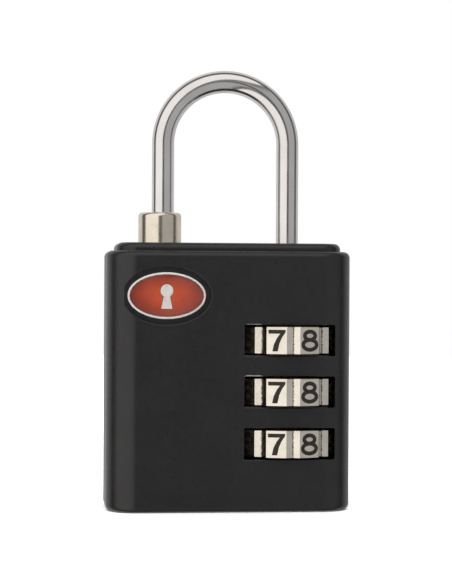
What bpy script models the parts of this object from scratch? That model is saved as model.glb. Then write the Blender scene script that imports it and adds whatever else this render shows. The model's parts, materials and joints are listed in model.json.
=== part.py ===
"""A three-wheel luggage padlock with a key override, as separate pieces.

It stands at rest, with the code dialled and the shackle shut.

The frame: X to the right, Y to the back, Z up, with the origin under the middle of the body.
The long leg of the shackle, the wheels and their sleeves all share one upright axis.
"""

import math

import bmesh
import bpy
from mathutils import Matrix, Vector

MM = 0.001

# Body
CASE_WIDTH = 33.0 * MM
CASE_DEPTH = 14.4 * MM
CASE_HEIGHT = 34.8 * MM
CASE_CORNER = 4.1 * MM
CASE_EDGE = 0.8 * MM
WALL = 1.2 * MM
FLOOR = 1.3 * MM
SEAM = 0.1 * MM
SPLIT_Y = 1.2 * MM
CAP_GAP = 0.1 * MM
CAP_BOTTOM = 28.4 * MM
CAP_TOP = 35.9 * MM
CAP_RIM = 0.8 * MM
STACK_ROOM_TOP = 34.2 * MM
CUTTER_REACH = 20 * MM
FRONT_Y = -CASE_DEPTH / 2
BACK_Y = CASE_DEPTH / 2

# Shackle
WIRE = 1.5 * MM
LEG_X = 8.2 * MM
TOE_X = -8.8 * MM
LOCK_Y = -1.1 * MM
LEG_END = 4.3 * MM
TOE_END = 33.4 * MM
ARCH_Z = 49.4 * MM
LIFT = 6.9 * MM
FIN_REACH = 2.4 * MM
FIN_WIDTH = 1.2 * MM
FIN_HEIGHT = 1.6 * MM
FIN_DROP = 0.45 * MM
LEG_GAP = 0.15 * MM

# Wheels and sleeves, from the bottom up; the pitch equals the lift, so that
# every fin stands between two sleeves at both ends of the shackle's travel
WHEEL_NAMES = ("bottom", "middle", "top")
WHEEL_PITCH = LIFT
WHEEL_Z = [9.1 * MM + WHEEL_PITCH * i for i in range(3)]
WHEEL_THICKNESS = 3.7 * MM
WHEEL_RADIUS = 7.3 * MM
WHEEL_GROOVE = 6.82 * MM
FLAT_HALF_ANGLE = math.radians(11.0)
NUMBERS = 10
WINDOW_HEIGHT = 4.2 * MM
WINDOW_LEFT = 1.75 * MM
WINDOW_RIGHT = 14.0 * MM
POCKET = 7.6 * MM
SLEEVE_HEIGHT = 4.4 * MM
SLEEVE_BORE = 1.7 * MM
SLEEVE_ROOT = 3.1 * MM
SLEEVE_TIP = 3.65 * MM
WHEEL_BORE_TIP = 3.25 * MM
WHEEL_BORE_ROOT = 3.8 * MM
GATE_REACH = 2.6 * MM
GATE_WIDTH = 1.6 * MM
SPLINES = 10

# Inner frame
WEB_LEFT = -1.0 * MM
WEB_RIGHT = 0.3 * MM
SHELF_RIGHT = 15.2 * MM
SHELF_BORE = 3.9 * MM
BASE_BORE = 2.65 * MM
SCREW_BORE = 0.8 * MM
FRAME_HALF_DEPTH = 5.9 * MM
FRAME_FOOT = 1.5 * MM
LOWEST_SHELF = 4.95 * MM
HIGHEST_SHELF_TOP = 27.05 * MM
FRAME_GAP = 0.2 * MM
ARM_LOW = 26.6 * MM
ARM_HIGH = 28.15 * MM

# Collar on the short leg
COLLAR_X = -9.2 * MM
COLLAR_RADIUS = 2.9 * MM
COLLAR_BORE = 2.0 * MM
COLLAR_TOP = 40.0 * MM
COLLAR_FLOOR = 31.0 * MM
COLLAR_FLANGE = 3.4 * MM
COLLAR_BASE = 28.5 * MM
FLANGE_TOP = 30.6 * MM
COLLAR_RIM = 0.45 * MM
RUNNING_GAP = 0.1 * MM

# Key override
KEY_X = -8.5 * MM
PLUG_RADIUS = 2.95 * MM
PLUG_TOP = 10.45 * MM
PLUG_FACE = 0.25 * MM
PLUG_FLANGE = 3.5 * MM
PLUG_FLANGE_LOW = 1.45 * MM
PLUG_FLANGE_HIGH = 2.2 * MM
HOUSING_RADIUS = 4.3 * MM
HOUSING_TOP = 10.3 * MM
KEYWAY_TOP = 8.4 * MM
KEYWAY_HALF_WIDTH = 0.5 * MM
KEYWAY_HALF_LENGTH = 2.2 * MM
WAFER_Z = [(3.1 + 1.4 * i) * MM for i in range(4)]
WAFER_HALF_WIDTH = 1.6 * MM
WAFER_HALF_LENGTH = 2.3 * MM
WAFER_GAUGE = 0.6 * MM
CAM_PIN_OFFSET = 2.1 * MM
CAM_PIN_RADIUS = 0.6 * MM
CAM_LOW = 10.6 * MM
CAM_HIGH = 11.4 * MM
CAM_RADIUS = 2.9 * MM
CAM_BORE = 0.65 * MM
CAM_PIN_TOP = 13.3 * MM
PLATE_FOOT = 12.3 * MM
PLATE_HEAD = 27.3 * MM
PLATE_GAUGE = 0.8 * MM
PLATE_TRAVEL = 2 * CAM_PIN_OFFSET * math.sin(math.pi / 4)
PLATE_LEFT = -2.6 * MM
PLATE_HALF_NECK = 1.6 * MM
RELEASE_SPRING_Z = 24.2 * MM

# Badge
BADGE_X = -8.65 * MM
BADGE_Z = 28.8 * MM
BADGE_WIDTH = 10.4 * MM
BADGE_HEIGHT = 6.2 * MM
RECESS_MARGIN = 0.7 * MM
RECESS_DEPTH = 0.45 * MM

# Rivets that hold the two halves of the body: name, x, z
RIVETS = (
    ("left", -13.0 * MM, 18.5 * MM),
    ("middle", -2.6 * MM, 3.4 * MM),
    ("right", 12.4 * MM, 3.1 * MM),
)
BOSS_RADIUS = 1.2 * MM
RIVET_HEAD = 1.0 * MM
RIVET_SHANK = 0.6 * MM
RIVET_GAP = 0.1 * MM
HEAD_DEPTH = 0.5 * MM

# Colour, roughness and metallic value of each material
DARK_METAL = ((0.030, 0.030, 0.032, 1.0), 0.55, 0.6)
CHROME = ((0.80, 0.78, 0.76, 1.0), 0.08, 1.0)
NICKEL = ((0.72, 0.68, 0.63, 1.0), 0.2, 1.0)
STEEL = ((0.45, 0.44, 0.43, 1.0), 0.35, 1.0)
BRASS = ((0.60, 0.45, 0.20, 1.0), 0.3, 1.0)
ENAMEL = ((0.45, 0.04, 0.02, 1.0), 0.15, 0.0)

Y_AXIS = Matrix.Rotation(-math.pi / 2, 4, "X")
Z_AXIS = Matrix.Identity(4)


# ---- helpers ----


def new_collection(name, hidden=False):
    made = bpy.data.collections.new(name)
    made.hide_render = hidden
    bpy.context.scene.collection.children.link(made)
    return made


def clear_scene():
    for obj in list(bpy.data.objects):
        bpy.data.objects.remove(obj, do_unlink=True)


clear_scene()
PARTS = new_collection("luggage_padlock")
CUTTERS = new_collection("cutters", hidden=True)


def link(name, data, location=(0, 0, 0)):
    obj = bpy.data.objects.new(name, data)
    obj.location = location
    PARTS.objects.link(obj)
    return obj


def from_bmesh(name, bm, location=(0, 0, 0)):
    mesh = bpy.data.meshes.new(name)
    bm.to_mesh(mesh)
    bm.free()
    return link(name, mesh, location)


def box(name, low, high):
    low, high = Vector(low), Vector(high)
    bm = bmesh.new()
    place = Matrix.Translation((low + high) / 2) @ Matrix.Diagonal((*(high - low), 1))
    bmesh.ops.create_cube(bm, size=1, matrix=place)
    return from_bmesh(name, bm)


def rounded_box(name, low, high, corner, edge=0.0, segments=5):
    """A box with rounded upright corners and, with an edge radius, rounded top and bottom rims."""
    obj = box(name, low, high)
    bm = bmesh.new()
    bm.from_mesh(obj.data)
    upright = [e for e in bm.edges if abs(e.verts[0].co.z - e.verts[1].co.z) > MM]
    bmesh.ops.bevel(
        bm, geom=upright, offset=corner, segments=segments, profile=0.5, affect="EDGES"
    )
    if edge:
        rims = [e for e in bm.edges if abs(e.verts[0].co.z - e.verts[1].co.z) < 1e-7]
        bmesh.ops.bevel(bm, geom=rims, offset=edge, segments=2, profile=0.5, affect="EDGES")
    bm.to_mesh(obj.data)
    bm.free()
    return obj


def cylinder(name, axis, radius, centre, low, high, sides=32):
    """A cylinder along an axis, from low to high on it; the centre gives its place across the axis."""
    middle = (low + high) / 2
    along = (axis @ Vector((0, 0, 1, 0))).xyz
    bm = bmesh.new()
    bmesh.ops.create_cone(
        bm,
        cap_ends=True,
        segments=sides,
        radius1=radius,
        radius2=radius,
        depth=high - low,
        matrix=Matrix.Translation(Vector(centre) + along * middle) @ axis,
    )
    return from_bmesh(name, bm)


def turned(name, profile, location, steps=32, ring=True, axis=Z_AXIS):
    """A turned piece: (radius, height) points down the outer side, and back up the inner side of a ring."""
    bm = bmesh.new()
    points = [bm.verts.new((radius, 0, height)) for radius, height in profile]
    for start, end in zip(points, points[1:]):
        bm.edges.new((start, end))
    if ring:
        bm.edges.new((points[-1], points[0]))
    obj = from_bmesh(name, bm, location)
    obj.rotation_euler = axis.to_euler()
    screw = obj.modifiers.new("Turn", "SCREW")
    screw.steps = steps
    screw.render_steps = steps
    screw.use_merge_vertices = True
    screw.merge_threshold = 0.000001
    return obj


def outline_piece(name, outlines, centre, thickness, rotation=(0, 0, 0)):
    """A flat piece from closed outlines, the first one outside and the others holes."""
    curve = bpy.data.curves.new(name, "CURVE")
    curve.dimensions = "2D"
    curve.fill_mode = "BOTH"
    curve.extrude = thickness / 2
    for outline in outlines:
        spline = curve.splines.new("POLY")
        spline.points.add(len(outline) - 1)
        for point, (x, y) in zip(spline.points, outline):
            point.co = (x, y, 0, 1)
        spline.use_cyclic_u = True
    obj = link(name, curve, centre)
    obj.rotation_euler = rotation
    return obj


def wire(name, points, radius, resolution=2, taper_end=False):
    """A round wire through the points; a tapered end has its last point drawn in."""
    curve = bpy.data.curves.new(name, "CURVE")
    curve.dimensions = "3D"
    curve.bevel_depth = radius
    curve.bevel_resolution = resolution
    curve.use_fill_caps = True
    spline = curve.splines.new("POLY")
    spline.points.add(len(points) - 1)
    for point, place in zip(spline.points, points):
        point.co = (*place, 1)
    if taper_end:
        spline.points[-1].radius = 0.6
    return link(name, curve)


def as_mesh(obj):
    """Replaces a curve with its mesh, its caps welded on, so that it can be cut and joined."""
    bpy.context.view_layer.update()
    graph = bpy.context.evaluated_depsgraph_get()
    mesh = bpy.data.meshes.new_from_object(obj.evaluated_get(graph))
    bm = bmesh.new()
    bm.from_mesh(mesh)
    bmesh.ops.remove_doubles(bm, verts=bm.verts, dist=0.000001)
    bmesh.ops.recalc_face_normals(bm, faces=bm.faces)
    bm.to_mesh(mesh)
    bm.free()
    name, place = obj.name, obj.matrix_world.copy()
    bpy.data.objects.remove(obj, do_unlink=True)
    made = link(name, mesh)
    made.matrix_world = place
    return made


def boolean(obj, operation, *others):
    """Cuts or joins other shapes, which move to the cutters and are no longer pieces."""
    for other in others:
        other.hide_render = True
        other.display_type = "WIRE"
        PARTS.objects.unlink(other)
        CUTTERS.objects.link(other)
        modifier = obj.modifiers.new(other.name, "BOOLEAN")
        modifier.operation = operation
        modifier.solver = "EXACT"
        modifier.object = other


def cut(obj, *others):
    boolean(obj, "DIFFERENCE", *others)


def join(obj, *others):
    boolean(obj, "UNION", *others)


def finish(obj, look):
    """Gives a piece its own material and smooth shading, with its edges sharp."""
    colour, roughness, metallic = look
    material = bpy.data.materials.new(obj.name)
    material.use_nodes = True
    shader = material.node_tree.nodes["Principled BSDF"]
    shader.inputs["Base Color"].default_value = colour
    shader.inputs["Roughness"].default_value = roughness
    shader.inputs["Metallic"].default_value = metallic
    material.diffuse_color = colour
    obj.data.materials.append(material)
    if obj.type == "MESH" and obj.data.polygons:
        obj.data.shade_smooth()
        obj.data.set_sharp_from_angle(angle=math.radians(35))
    return obj


def set_origin(obj, origin):
    """Moves a mesh object's origin without moving its shape."""
    shift = Vector(origin) - obj.location
    obj.data.transform(Matrix.Translation(-shift))
    obj.location = origin


def circle(radius, steps, centre=(0, 0), start=0.0, turn=math.tau):
    """Points along a circle or an arc; a full turn doesn't repeat its first point."""
    count = steps if turn == math.tau else steps + 1
    angles = [start + turn * i / steps for i in range(count)]
    return [(centre[0] + radius * math.cos(a), centre[1] + radius * math.sin(a)) for a in angles]


def oval(width, height, steps=40):
    return [(width / 2 * x, height / 2 * y) for x, y in circle(1.0, steps)]


def star(root, tip, count):
    """A ring of square splines: an arc at each radius in turn."""
    points = []
    for i in range(count):
        for radius, share in ((tip, 0.0), (tip, 0.42), (root, 0.5), (root, 0.92)):
            angle = math.tau * (i + share) / count
            points.append((radius * math.cos(angle), radius * math.sin(angle)))
    return points


# ---- body ----


def badge_place(depth):
    return (BADGE_X, depth, BADGE_Z)


def case_solid(name, keep_front):
    """Half of the body: a rounded block, hollowed, with bosses for the rivets."""
    half = CASE_WIDTH / 2
    obj = rounded_box(
        name,
        (-half, FRONT_Y, 0),
        (half, BACK_Y, CASE_HEIGHT),
        CASE_CORNER,
        CASE_EDGE,
    )
    cavity = rounded_box(
        name + "_cavity",
        (-half + WALL, FRONT_Y + WALL, FLOOR),
        (half - WALL, BACK_Y - WALL, CASE_HEIGHT + CUTTER_REACH),
        CASE_CORNER - WALL,
    )
    cut(obj, cavity)
    for rivet, x, z in RIVETS:
        reach = (FRONT_Y + WALL / 2, BACK_Y - WALL / 2)
        join(obj, cylinder(f"{name}_boss_{rivet}", Y_AXIS, BOSS_RADIUS, (x, 0, z), *reach, sides=16))
    behind = (SPLIT_Y - SEAM / 2, CUTTER_REACH)
    ahead = (-CUTTER_REACH, SPLIT_Y + SEAM / 2)
    low, high = behind if keep_front else ahead
    other_half = box(
        name + "_other_half",
        (-CUTTER_REACH, low, -CUTTER_REACH),
        (CUTTER_REACH, high, CASE_HEIGHT + CUTTER_REACH),
    )
    cut(obj, other_half)
    for wheel, z in zip(WHEEL_NAMES, WHEEL_Z):
        half_height = WINDOW_HEIGHT / 2
        pocket = cylinder(
            f"{name}_pocket_{wheel}",
            Z_AXIS,
            POCKET,
            (LEG_X, LOCK_Y, 0),
            z - half_height,
            z + half_height,
            sides=40,
        )
        cut(obj, pocket)
        low_x, high_x = LEG_X - POCKET, LEG_X + POCKET
        # the pocket stays open up to the seam, so that the wheel goes in from behind
        way_in = box(
            f"{name}_way_in_{wheel}",
            (low_x, LOCK_Y, z - half_height),
            (high_x, SPLIT_Y + SEAM / 2, z + half_height),
        )
        if keep_front:
            cut(obj, way_in)
        else:
            bpy.data.objects.remove(way_in, do_unlink=True)
    key_hole = (PLUG_RADIUS + RUNNING_GAP, (KEY_X, 0, 0), -MM, FLOOR + MM)
    cut(obj, cylinder(name + "_key_hole", Z_AXIS, *key_hole))
    return obj


def front_case():
    obj = case_solid("front_case", keep_front=True)
    for wheel, z in zip(WHEEL_NAMES, WHEEL_Z):
        window = box(
            "window_" + wheel,
            (WINDOW_LEFT, FRONT_Y - MM, z - WINDOW_HEIGHT / 2),
            (WINDOW_RIGHT, LOCK_Y - 3 * MM, z + WINDOW_HEIGHT / 2),
        )
        cut(obj, window)
    recess = as_mesh(
        outline_piece(
            "badge_recess",
            [oval(BADGE_WIDTH + 2 * RECESS_MARGIN, BADGE_HEIGHT + 2 * RECESS_MARGIN)],
            badge_place(FRONT_Y - MM + RECESS_DEPTH),
            2 * MM,
            rotation=(math.pi / 2, 0, 0),
        )
    )
    cut(obj, recess)
    for rivet, x, z in RIVETS:
        hole = (RIVET_SHANK + RIVET_GAP, (x, 0, z), FRONT_Y + WALL + MM, SPLIT_Y + MM)
        cut(obj, cylinder("front_hole_" + rivet, Y_AXIS, *hole, sides=16))
    return finish(obj, DARK_METAL)


def back_case():
    obj = case_solid("back_case", keep_front=False)
    for rivet, x, z in RIVETS:
        hole = (RIVET_SHANK + RIVET_GAP, (x, 0, z), SPLIT_Y - MM, BACK_Y + MM)
        cut(obj, cylinder("back_hole_" + rivet, Y_AXIS, *hole, sides=16))
        seat = (RIVET_HEAD + RIVET_GAP, (x, 0, z), BACK_Y - HEAD_DEPTH - RIVET_GAP, BACK_Y + MM)
        cut(obj, cylinder("head_seat_" + rivet, Y_AXIS, *seat, sides=16))
    return finish(obj, DARK_METAL)


def rivets():
    """Rivets along Y: a low domed head flush with the back, and a shank into the front boss."""
    length = CASE_DEPTH - 2 * WALL
    for rivet, x, z in RIVETS:
        profile = [
            (0, -0.02 * MM),
            (RIVET_HEAD * 0.8, -0.05 * MM),
            (RIVET_HEAD, -0.12 * MM),
            (RIVET_HEAD, -HEAD_DEPTH),
            (RIVET_SHANK, -HEAD_DEPTH),
            (RIVET_SHANK, -length),
            (0, -length),
        ]
        piece = turned("case_rivet_" + rivet, profile, (x, BACK_Y, z), 16, False, Y_AXIS)
        finish(piece, DARK_METAL)


def top_cap():
    half_x = CASE_WIDTH / 2 - WALL - CAP_GAP
    half_y = CASE_DEPTH / 2 - WALL - CAP_GAP
    obj = rounded_box(
        "top_cap",
        (-half_x, -half_y, CAP_BOTTOM),
        (half_x, half_y, CAP_TOP),
        CASE_CORNER - WALL - CAP_GAP,
        CAP_RIM,
    )
    leg = (LEG_X, LOCK_Y, 0)
    collar = (COLLAR_X, LOCK_Y, 0)
    below, above = CAP_BOTTOM - MM, CAP_TOP + MM
    flange = (COLLAR_FLANGE + RUNNING_GAP, collar, below, FLANGE_TOP + LEG_GAP)
    cut(
        obj,
        cylinder("leg_hole", Z_AXIS, WIRE + LEG_GAP, leg, CAP_BOTTOM, above, sides=24),
        cylinder("stack_room", Z_AXIS, SHELF_BORE, leg, below, STACK_ROOM_TOP, sides=24),
        cylinder("collar_hole", Z_AXIS, COLLAR_RADIUS + 0.08 * MM, collar, CAP_BOTTOM, above),
        cylinder("flange_room", Z_AXIS, *flange),
    )
    return finish(obj, DARK_METAL)


# ---- shackle and collar ----


def shackle():
    """The bow with its long finned leg and its short toe, one fin below each sleeve."""
    radius = (LEG_X - TOE_X) / 2
    arch = circle(radius, 14, ((LEG_X + TOE_X) / 2, ARCH_Z), 0.0, math.pi)
    points = [(LEG_X, LOCK_Y, LEG_END)]
    points += [(x, LOCK_Y, z) for x, z in arch]
    points += [(TOE_X, LOCK_Y, TOE_END + 0.5 * MM), (TOE_X, LOCK_Y, TOE_END)]
    obj = as_mesh(wire("shackle", points, WIRE, resolution=4, taper_end=True))
    for name, z in zip(WHEEL_NAMES, WHEEL_Z):
        low = z - SLEEVE_HEIGHT / 2 - FIN_HEIGHT - FIN_DROP
        fin = box(
            "fin_" + name,
            (LEG_X - FIN_REACH, LOCK_Y - FIN_WIDTH / 2, low),
            (LEG_X, LOCK_Y + FIN_WIDTH / 2, low + FIN_HEIGHT),
        )
        join(obj, fin)
    set_origin(obj, (LEG_X, LOCK_Y, LEG_END))
    return finish(obj, CHROME)


def shackle_collar():
    """The sleeve round the toe: a rounded rim, and a flange under the cap."""
    rim = circle(COLLAR_RIM, 4, (COLLAR_RADIUS - COLLAR_RIM, COLLAR_TOP - COLLAR_RIM), 0.0, math.pi / 2)
    profile = list(reversed(rim)) + [
        (COLLAR_RADIUS, FLANGE_TOP),
        (COLLAR_FLANGE, FLANGE_TOP),
        (COLLAR_FLANGE, COLLAR_BASE),
        (SCREW_BORE, COLLAR_BASE),
        (SCREW_BORE, COLLAR_FLOOR),
        (COLLAR_BORE, COLLAR_FLOOR),
        (COLLAR_BORE, COLLAR_TOP - 0.3 * MM),
    ]
    obj = turned("shackle_collar", profile, (COLLAR_X, LOCK_Y, 0), 32)
    return finish(obj, NICKEL)


def cap_screw():
    head, shank = 1.4 * MM, 0.7 * MM
    seat, top, tip = COLLAR_FLOOR + 0.1 * MM, COLLAR_FLOOR + MM, ARM_LOW + 0.1 * MM
    profile = [
        (0, top),
        (MM, top),
        (head, top - 0.2 * MM),
        (head, seat),
        (shank, seat),
        (shank, tip + 0.2 * MM),
        (0, tip),
    ]
    obj = turned("cap_screw", profile, (COLLAR_X, LOCK_Y, 0), 16, ring=False)
    slot = box(
        "cap_screw_slot",
        (COLLAR_X - 2 * head, LOCK_Y - 0.2 * MM, top - 0.4 * MM),
        (COLLAR_X + 2 * head, LOCK_Y + 0.2 * MM, top + MM),
    )
    cut(obj, slot)
    return finish(obj, STEEL)


# ---- code wheels ----


def wheel_outline():
    """Ten flats with a V groove between each pair; a groove faces the front."""
    points = []
    for i in range(NUMBERS):
        middle = -math.pi / 2 + math.tau * (i + 0.5) / NUMBERS
        for radius, offset in (
            (WHEEL_RADIUS, -FLAT_HALF_ANGLE),
            (WHEEL_RADIUS, FLAT_HALF_ANGLE),
            (WHEEL_GROOVE, math.pi / NUMBERS),
        ):
            points.append(
                (radius * math.cos(middle + offset), radius * math.sin(middle + offset))
            )
    return points


def sleeve_bore():
    """A round bore with the gate slot that faces -X."""
    half = GATE_WIDTH / 2
    opening = math.asin(half / SLEEVE_BORE)
    arc = circle(SLEEVE_BORE, 20, (0, 0), -math.pi + opening, math.tau - 2 * opening)
    return arc + [(-GATE_REACH, half), (-GATE_REACH, -half)]


def code_wheels():
    for name, z in zip(WHEEL_NAMES, WHEEL_Z):
        place = (LEG_X, LOCK_Y, z)
        bore = star(WHEEL_BORE_ROOT, WHEEL_BORE_TIP, SPLINES)
        finish(outline_piece("dial_" + name, [wheel_outline(), bore], place, WHEEL_THICKNESS), CHROME)
        rim = star(SLEEVE_TIP, SLEEVE_ROOT, SPLINES)
        finish(outline_piece("sleeve_" + name, [rim, sleeve_bore()], place, SLEEVE_HEIGHT), BRASS)


def spacers():
    """Rings between the sleeves, wide enough inside for the fins."""
    for name, z in (("lower", WHEEL_Z[0]), ("upper", WHEEL_Z[1]), ("top", WHEEL_Z[2])):
        low = z + SLEEVE_HEIGHT / 2 + RUNNING_GAP
        high = low + WHEEL_PITCH - SLEEVE_HEIGHT - 2 * RUNNING_GAP
        if name == "top":
            high = PLATE_HEAD - 2 * RUNNING_GAP
        inner, outer = FIN_REACH + 2 * RUNNING_GAP, SLEEVE_TIP
        profile = [(outer, high), (outer, low), (inner, low), (inner, high)]
        finish(turned("spacer_" + name, profile, (LEG_X, LOCK_Y, 0), 24), STEEL)


def detent_springs():
    """A leaf beside each wheel, with a tail bent into its slot in the frame."""
    face, gauge, reach, height = 0.6 * MM, 0.2 * MM, 3.6 * MM, 2.4 * MM
    tail = WEB_LEFT + 0.3 * MM
    for name, z in zip(WHEEL_NAMES, WHEEL_Z):
        outline = [
            (face, -reach),
            (face + gauge, -reach),
            (face + gauge, reach),
            (tail, reach),
            (tail, reach - gauge),
            (face, reach - gauge),
        ]
        finish(outline_piece("detent_spring_" + name, [outline], (0, 0, z), height), STEEL)


# ---- frame ----


def inner_frame():
    """A web with a shelf below, between and above the wheels, and an arm that carries the cap screw."""
    side = FRAME_HALF_DEPTH
    overlap = 0.4 * MM
    obj = box("inner_frame", (WEB_LEFT, -side, FRAME_FOOT), (WEB_RIGHT, side, ARM_HIGH))
    half_wheel = WHEEL_THICKNESS / 2 + 0.2 * MM
    shelves = [(LOWEST_SHELF, WHEEL_Z[0] - SLEEVE_HEIGHT / 2 - 0.15 * MM)]
    shelves += [(WHEEL_Z[i] + half_wheel, WHEEL_Z[i + 1] - half_wheel) for i in range(2)]
    shelves += [(WHEEL_Z[2] + half_wheel, HIGHEST_SHELF_TOP)]
    for number, (low, high) in enumerate(shelves, 1):
        join(obj, box(f"shelf_{number}", (WEB_LEFT + overlap, -side, low), (SHELF_RIGHT, side, high)))
    left = -CASE_WIDTH / 2 + WALL
    lug_half, lug_low = 1.8 * MM, 22.4 * MM
    join(
        obj,
        box("cap_arm", (left, -side, ARM_LOW), (WEB_RIGHT - overlap, side, ARM_HIGH)),
        box("spring_lug", (-10.6 * MM, -lug_half, lug_low), (-9.4 * MM, lug_half, ARM_LOW + overlap)),
    )
    half_x = CASE_WIDTH / 2 - WALL - FRAME_GAP
    half_y = CASE_DEPTH / 2 - WALL - FRAME_GAP
    above = ARM_HIGH + MM
    envelope = rounded_box(
        "frame_envelope",
        (-half_x, -half_y, FRAME_FOOT - MM),
        (half_x, half_y, above),
        CASE_CORNER - WALL - FRAME_GAP,
    )
    boolean(obj, "INTERSECT", envelope)
    leg = (LEG_X, LOCK_Y, 0)
    screw = (COLLAR_X, LOCK_Y, 0)
    between = (shelves[0][1] + shelves[1][0]) / 2
    plate_half = PLATE_HALF_NECK + 0.3 * MM
    neck_low = PLATE_HEAD - 0.15 * MM
    cut(
        obj,
        cylinder("base_bore", Z_AXIS, BASE_BORE, leg, LOWEST_SHELF - MM, between),
        cylinder("stack_bore", Z_AXIS, SHELF_BORE, leg, between, above),
        cylinder("screw_bore", Z_AXIS, SCREW_BORE, screw, ARM_LOW - MM, above, sides=16),
        box("plate_way", (-5.8 * MM, -plate_half, ARM_LOW - MM), (WEB_LEFT - overlap, plate_half, above)),
        box("neck_way", (WEB_LEFT - MM, -plate_half, neck_low), (WEB_RIGHT + MM, plate_half, above)),
    )
    for name, z in zip(WHEEL_NAMES, WHEEL_Z):
        slot = box(
            "spring_slot_" + name,
            (WEB_LEFT + 0.2 * MM, 3.3 * MM, z - 1.3 * MM),
            (WEB_RIGHT + MM, 3.7 * MM, z + 1.3 * MM),
        )
        cut(obj, slot)
    return finish(obj, STEEL)


# ---- springs ----


def coil(centre, along, start, end, radius, gauge, turns):
    """Points of a coil that lies along X or Z from start to end."""
    points = []
    for i in range(turns * 10 + 1):
        angle = math.tau * i / 10
        run = start + gauge + (end - start - 2 * gauge) * i / (turns * 10)
        across, up = radius * math.cos(angle), radius * math.sin(angle)
        points.append(
            (centre[0] + across, centre[1] + up, run)
            if along == "Z"
            else (run, centre[1] + across, centre[2] + up)
        )
    return points


def springs():
    gauge = 0.2 * MM
    low, high = FLOOR + 0.1 * MM, LEG_END - 0.15 * MM
    lift = coil((LEG_X, LOCK_Y, 0), "Z", low, high, 1.15 * MM, gauge, 4)
    finish(wire("shackle_spring", lift, gauge), STEEL)
    left, right = -9.35 * MM, PLATE_LEFT - 0.05 * MM
    back = coil((0, 0, RELEASE_SPRING_Z), "X", left, right, 1.2 * MM, gauge, 6)
    finish(wire("release_spring", back, gauge), STEEL)


# ---- key override ----


def cylinder_housing():
    counterbore, step = PLUG_FLANGE + LEG_GAP, PLUG_FLANGE_HIGH + LEG_GAP
    bore = PLUG_RADIUS + RUNNING_GAP
    profile = [
        (HOUSING_RADIUS, HOUSING_TOP),
        (HOUSING_RADIUS, PLUG_FLANGE_LOW),
        (counterbore, PLUG_FLANGE_LOW),
        (counterbore, step),
        (bore, step),
        (bore, HOUSING_TOP),
    ]
    obj = turned("cylinder_housing", profile, (KEY_X, 0, 0), 32)
    wide, deep = WAFER_HALF_WIDTH + 0.2 * MM, 3.6 * MM
    for name, across, along in (("front_back", wide, deep), ("sides", deep, wide)):
        broach = box(
            "broach_" + name,
            (KEY_X - across, -along, PLUG_FLANGE_LOW),
            (KEY_X + across, along, WAFER_Z[-1] + 1.3 * MM),
        )
        cut(obj, broach)
    return finish(obj, BRASS)


def key_plug():
    """The turning core: a flange that keeps it in, a keyway, and a slot for each wafer."""
    profile = [
        (0, PLUG_TOP),
        (PLUG_RADIUS, PLUG_TOP),
        (PLUG_RADIUS, PLUG_FLANGE_HIGH),
        (PLUG_FLANGE, PLUG_FLANGE_HIGH),
        (PLUG_FLANGE, PLUG_FLANGE_LOW),
        (PLUG_RADIUS, PLUG_FLANGE_LOW),
        (PLUG_RADIUS, PLUG_FACE),
        (0, PLUG_FACE),
    ]
    obj = turned("key_plug", profile, (KEY_X, 0, 0), 32, ring=False)
    keyway = box(
        "keyway",
        (KEY_X - KEYWAY_HALF_WIDTH, -KEYWAY_HALF_LENGTH, -MM),
        (KEY_X + KEYWAY_HALF_WIDTH, KEYWAY_HALF_LENGTH, KEYWAY_TOP),
    )
    cut(obj, keyway)
    half_width, half_height = WAFER_HALF_WIDTH + RUNNING_GAP, WAFER_GAUGE / 2 + RUNNING_GAP
    for number, z in enumerate(WAFER_Z, 1):
        slot = box(
            f"wafer_slot_{number}",
            (KEY_X - half_width, -HOUSING_RADIUS, z - half_height),
            (KEY_X + half_width, HOUSING_RADIUS, z + half_height),
        )
        cut(obj, slot)
    screw = (CAM_BORE, (KEY_X, 0, 0), KEYWAY_TOP + 0.4 * MM, PLUG_TOP + MM)
    cut(obj, cylinder("cam_screw_bore", Z_AXIS, *screw, sides=16))
    return finish(obj, BRASS)


def wafers():
    frame = 0.7 * MM
    hole_x, hole_y = KEYWAY_HALF_WIDTH + 0.1 * MM, WAFER_HALF_LENGTH - frame
    outlines = [
        [(-x, -y), (x, -y), (x, y), (-x, y)]
        for x, y in ((WAFER_HALF_WIDTH, WAFER_HALF_LENGTH), (hole_x, hole_y))
    ]
    for number, z in enumerate(WAFER_Z, 1):
        finish(outline_piece(f"wafer_{number}", outlines, (KEY_X, 0, z), WAFER_GAUGE), BRASS)


def key_cam():
    """A disc on the end of the plug, with the pin that drives the release plate."""
    disc = [(CAM_RADIUS, CAM_HIGH), (CAM_RADIUS, CAM_LOW), (CAM_BORE, CAM_LOW), (CAM_BORE, CAM_HIGH)]
    obj = turned("key_cam", disc, (KEY_X, 0, 0), 32)
    offset = PLATE_TRAVEL / 2
    pin = (CAM_PIN_RADIUS, (KEY_X + offset, offset, 0), CAM_LOW + 0.2 * MM, CAM_PIN_TOP)
    join(obj, cylinder("cam_pin", Z_AXIS, *pin, sides=16))
    return finish(obj, STEEL)


def cam_screw():
    head, shank = 1.1 * MM, 0.55 * MM
    seat, tip = CAM_HIGH + 0.1 * MM, 9.0 * MM
    profile = [
        (0, seat + 0.55 * MM),
        (0.9 * MM, seat + 0.5 * MM),
        (head, seat + 0.35 * MM),
        (head, seat),
        (shank, seat),
        (shank, tip),
        (0, tip),
    ]
    return finish(turned("cam_screw", profile, (KEY_X, 0, 0), 16, ring=False), STEEL)


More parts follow.
